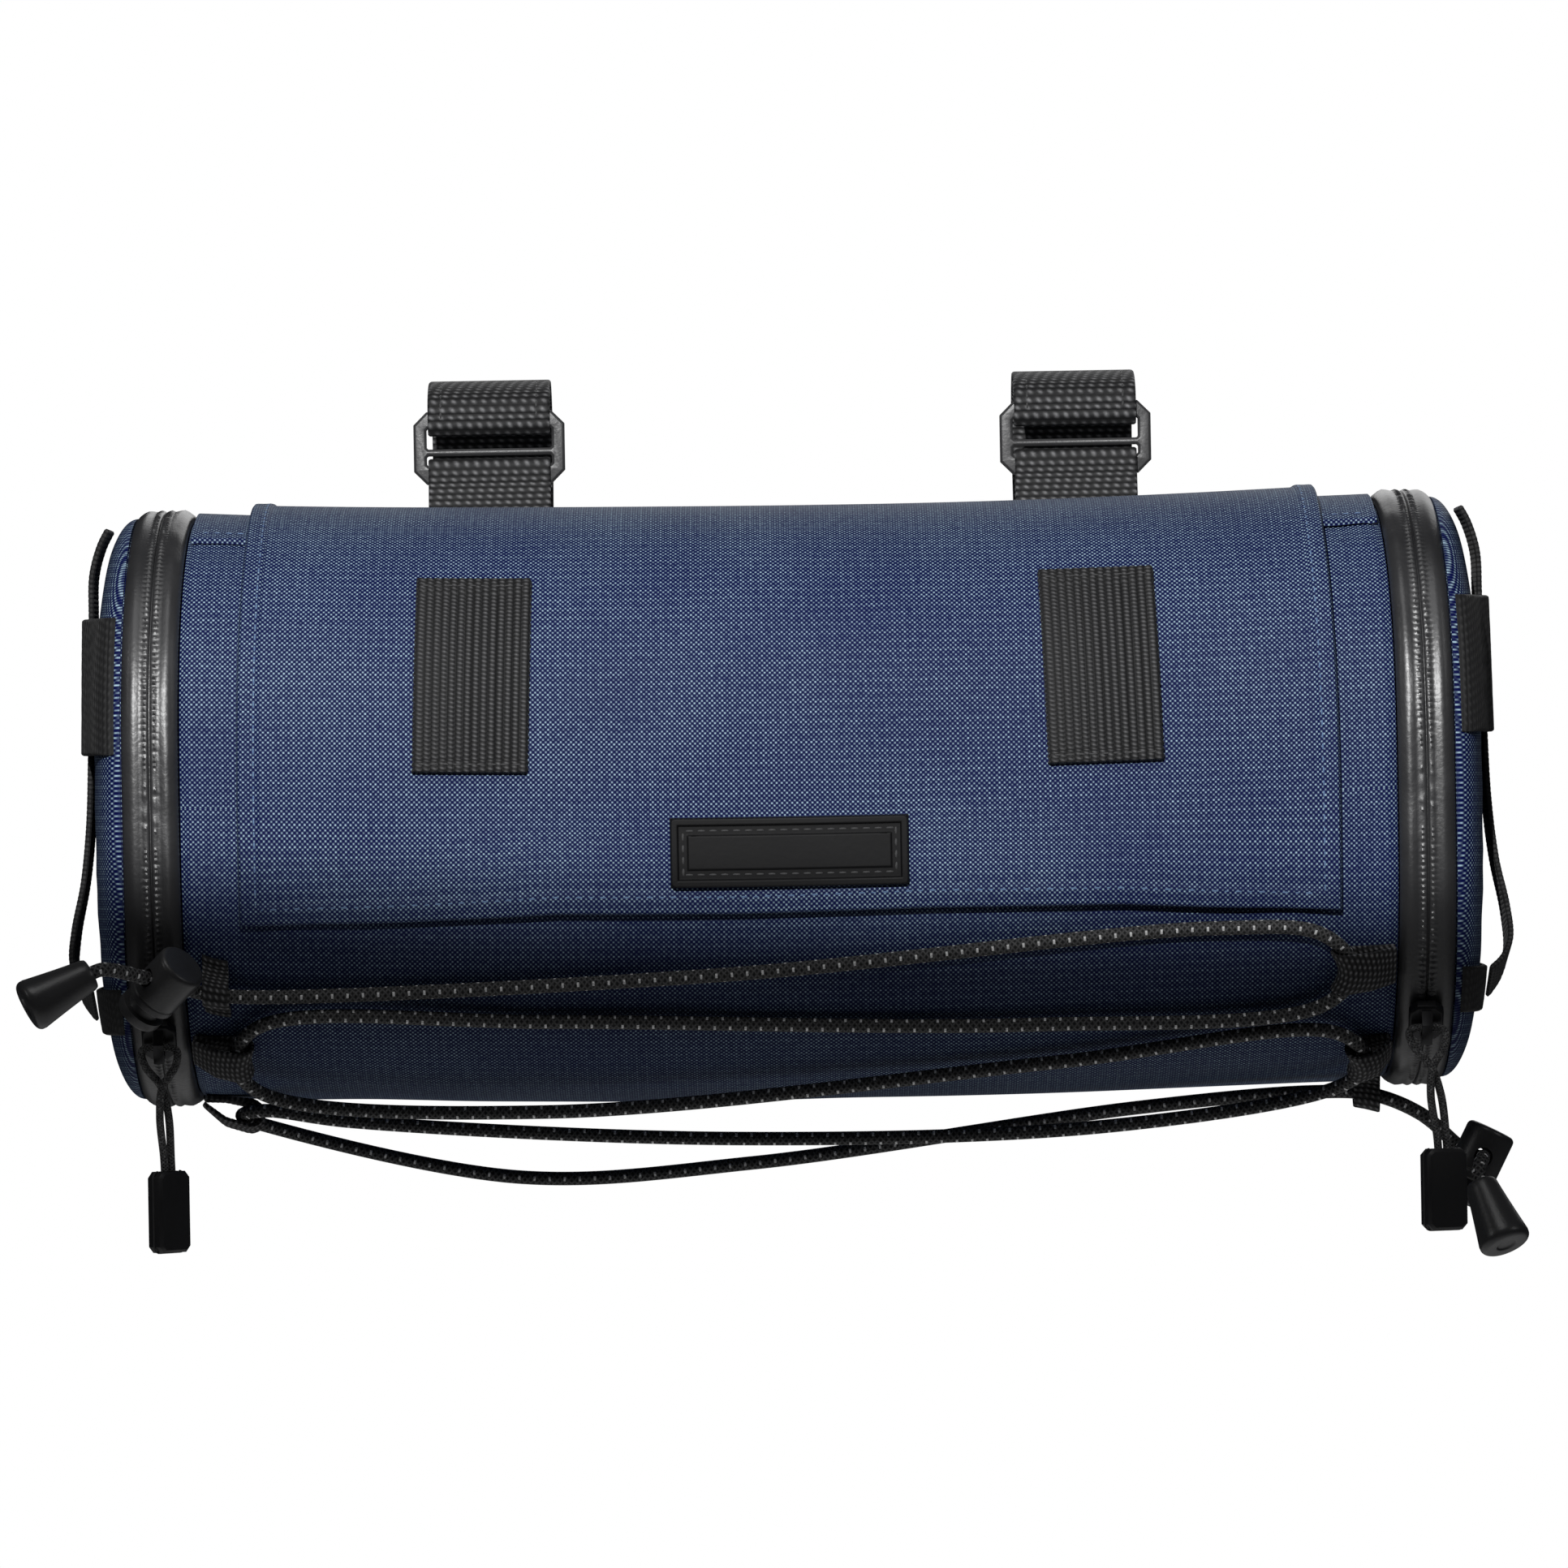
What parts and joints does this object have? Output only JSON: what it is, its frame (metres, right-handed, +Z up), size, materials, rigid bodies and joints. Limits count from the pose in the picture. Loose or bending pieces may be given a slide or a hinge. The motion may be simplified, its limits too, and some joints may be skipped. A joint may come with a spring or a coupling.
{
  "type": "bicycle handlebar bag",
  "caption": "Barrel-shaped fabric bag that hangs from a handlebar on buckled webbing straps, with zip bands round its ends, a front flap and a laced elastic cord.",
  "frame": {"origin": "on the axis of the handlebar that the straps go round, midway between the straps", "axes": "+X along the handlebar, to the right as seen from the front; -Y towards the front, the flap's side; +Z up"},
  "size_m": [0.3709, 0.2045, 0.2269],
  "materials": {
    "ripstop": "dark blue woven ripstop nylon",
    "webbing": "ribbed black webbing",
    "zip_tape": "black coated zip tape with a slight gloss",
    "label": "matt black moulded rubber",
    "plastic": "satin black moulded plastic",
    "elastic": "black braided cord with pale flecks",
    "metal": "dark painted metal",
    "tab": "black rubber in two layers"
  },
  "bodies": {
    "root": {"barrel_shell": "ripstop", "zip_ring_left": "zip_tape", "zip_ring_right": "zip_tape", "end_panel_left": "ripstop", "end_panel_right": "ripstop", "top_facing": "ripstop", "front_flap": "ripstop", "flap_patch_left": "webbing", "flap_patch_right": "webbing", "label_plate": "label", "bungee_loop_left_upper": "webbing", "bungee_loop_left_middle": "webbing", "bungee_loop_left_lower": "webbing", "bungee_loop_right_upper": "webbing", "bungee_loop_right_middle": "webbing", "bungee_loop_right_lower": "webbing", "bungee_cord": "elastic", "cord_lock_barrel_left": "plastic", "cord_lock_barrel_right": "plastic", "cord_end_left": "plastic", "cord_end_right": "plastic", "zip_slider_left": "metal", "zip_slider_right": "metal", "zip_pull_cord_left": "elastic", "zip_pull_cord_right": "elastic", "zip_pull_tab_left": "tab", "zip_pull_tab_right": "tab", "handlebar_strap_left": "webbing", "handlebar_strap_right": "webbing", "strap_anchor_left": "webbing", "strap_anchor_right": "webbing", "strap_anchor_base_left": "webbing", "strap_anchor_base_right": "webbing", "strap_buckle_left": "plastic", "strap_buckle_right": "plastic", "side_strap_left": "webbing", "side_strap_right": "webbing", "side_band_left": "webbing", "side_band_right": "webbing", "side_foot_band_left": "webbing", "side_foot_band_right": "webbing"},
    "lock_plunger_left": {"cord_lock_plunger_left": "plastic"},
    "lock_plunger_right": {"cord_lock_plunger_right": "plastic"}
  },
  "joints": [
    {"name": "lock_plunger_left_slide", "type": "slide", "parent": "root", "child": "lock_plunger_left", "axis": [0.6202, -0.4802, 0.6202], "range_m": [0, 0.0025], "stiffness_N_per_m": 200, "springref_m": -0.0005},
    {"name": "lock_plunger_right_slide", "type": "slide", "parent": "root", "child": "lock_plunger_right", "axis": [0.4508, 0.0451, 0.8915], "range_m": [0, 0.0025], "stiffness_N_per_m": 200, "springref_m": -0.0005}
  ]
}
